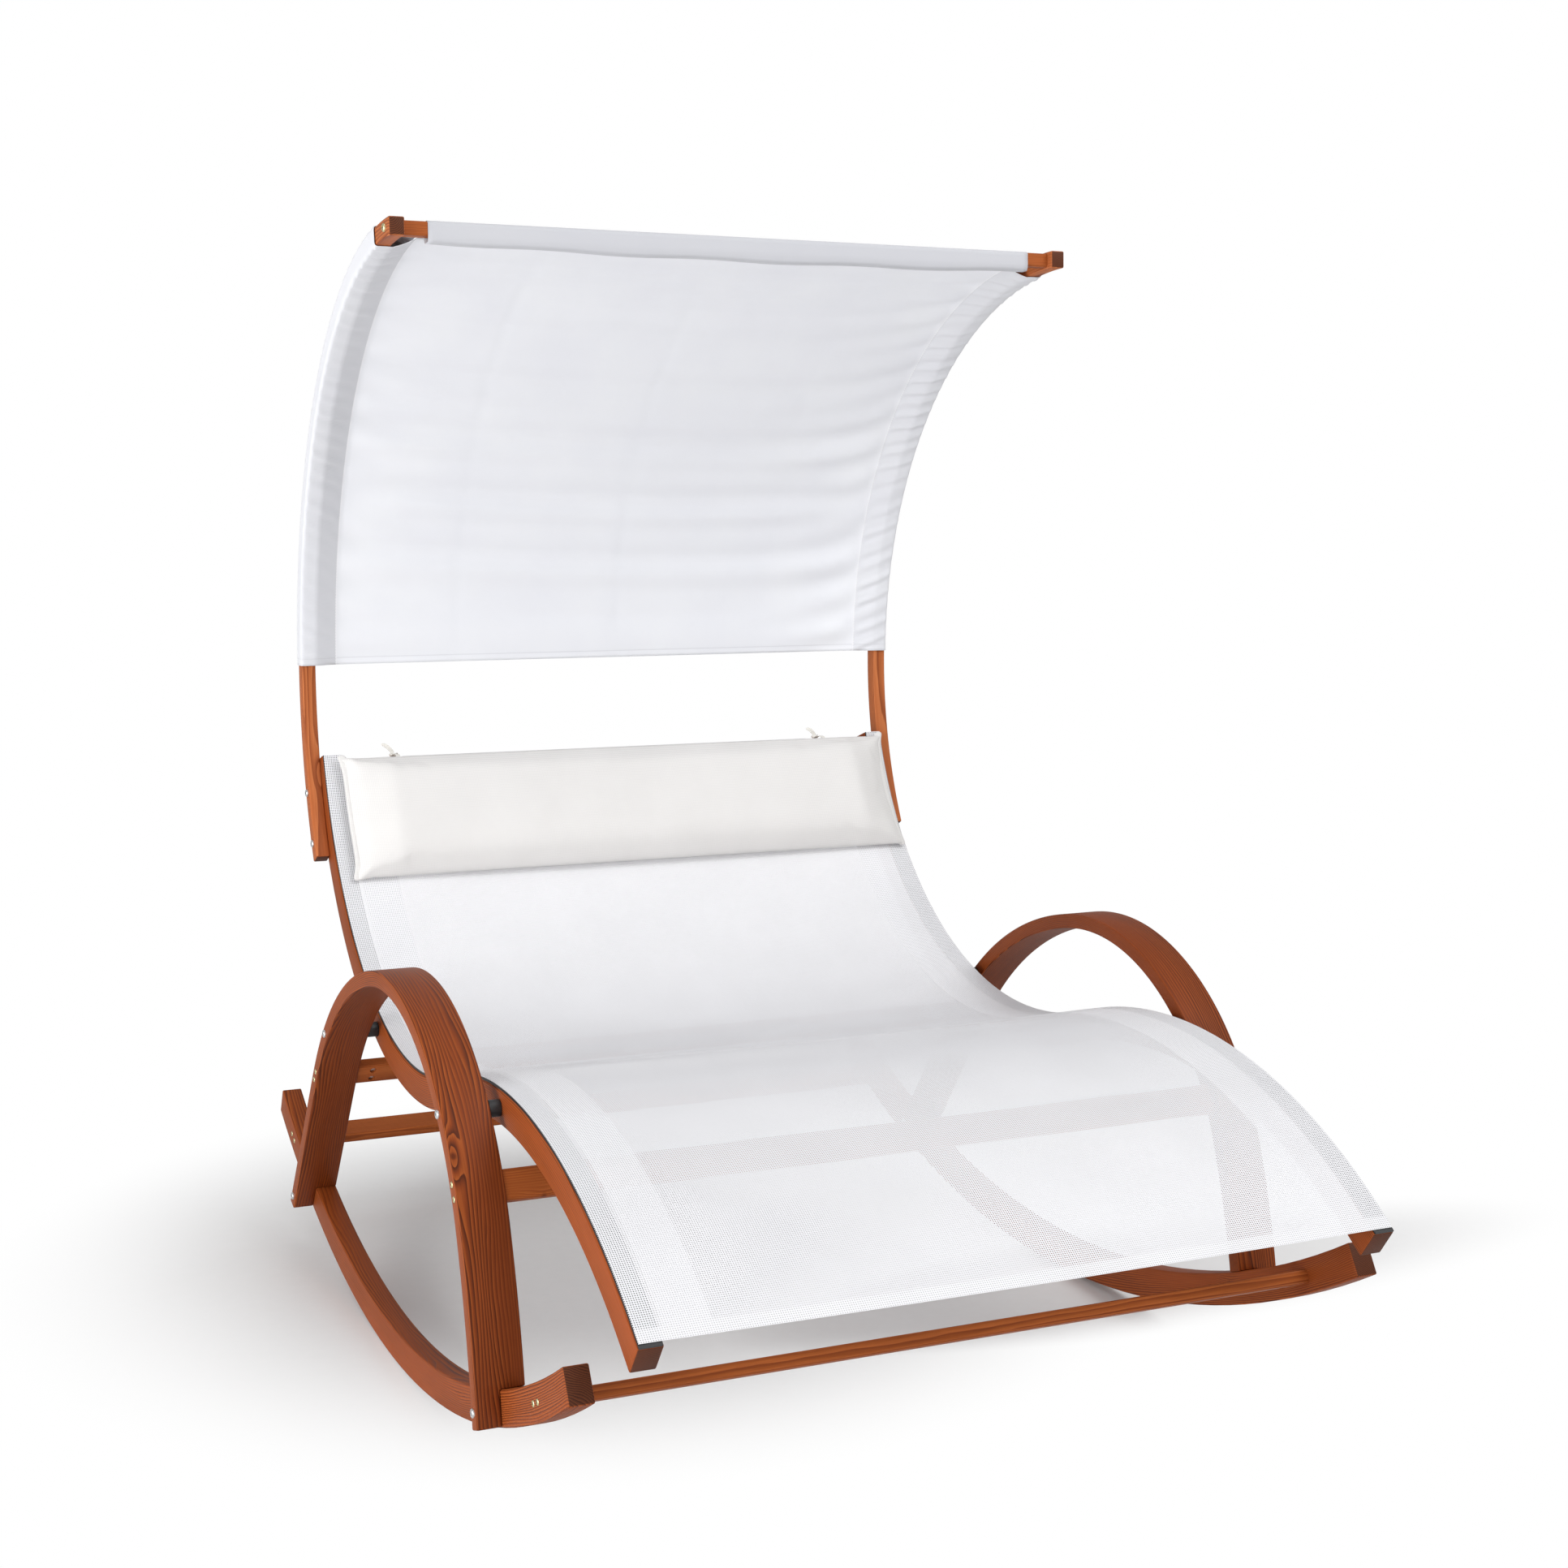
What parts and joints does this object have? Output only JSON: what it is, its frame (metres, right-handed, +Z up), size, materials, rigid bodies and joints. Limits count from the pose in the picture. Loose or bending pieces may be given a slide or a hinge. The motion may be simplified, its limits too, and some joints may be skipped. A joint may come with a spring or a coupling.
{
  "type": "rocking lounger",
  "caption": "Wide rocking lounger of bent laminated wood: a mesh sling on S-shaped rails, arm arches on curved runners, a fixed cloth canopy and a head pillow that lifts on its ties.",
  "frame": {"origin": "on the floor, under the middle of the lounger's bounding box", "axes": "+X to the right seen from the front, +Y to the rear where the head lies, +Z up"},
  "size_m": [1.472, 2.029, 1.9973],
  "materials": {
    "wood_frame": "red-brown stained laminated softwood, satin",
    "wood_bars": "lighter orange-brown stained softwood, satin",
    "sling_mesh": "white coated open mesh",
    "canopy_fabric": "thin white woven cloth",
    "pillow_fabric": "warm white woven cover",
    "tie_tape": "white woven tape",
    "black_plastic": "black moulded plastic",
    "zinc_steel": "bright zinc plating"
  },
  "bodies": {
    "frame": {"arch_bar_bolts": "zinc_steel", "arch_front_crossbar": "wood_bars", "arch_rear_crossbar": "wood_bars", "barrel_nuts": "zinc_steel", "canopy_bar_bolts": "zinc_steel", "canopy_barrel_nuts": "zinc_steel", "canopy_cloth": "canopy_fabric", "canopy_crossbar": "wood_bars", "foot_bolts": "zinc_steel", "frame_nuts": "zinc_steel", "left_arm_arch": "wood_frame", "left_canopy_post": "wood_frame", "left_front_spacer": "black_plastic", "left_rail_strip": "black_plastic", "left_rear_spacer": "black_plastic", "left_rocker": "wood_frame", "left_side_rail": "wood_frame", "post_bolts": "zinc_steel", "right_arm_arch": "wood_frame", "right_canopy_post": "wood_frame", "right_front_spacer": "black_plastic", "right_rail_strip": "black_plastic", "right_rear_spacer": "black_plastic", "right_rocker": "wood_frame", "right_side_rail": "wood_frame", "rocker_bar_bolts": "zinc_steel", "rocker_front_crossbar": "wood_bars", "rocker_rear_crossbar": "wood_bars", "seat_sling": "sling_mesh", "spacer_bolts": "zinc_steel", "top_bar_screws": "zinc_steel", "top_crossbar": "wood_frame"},
    "pillow": {"head_pillow": "pillow_fabric", "left_pillow_tie": "tie_tape", "right_pillow_tie": "tie_tape"}
  },
  "joints": [
    {"name": "pillow_lift", "type": "hinge", "parent": "frame", "child": "pillow", "pos_m": [0, 0.83612, 0.97334], "axis": [-1, 0, 0], "range_deg": [0, 110]}
  ]
}
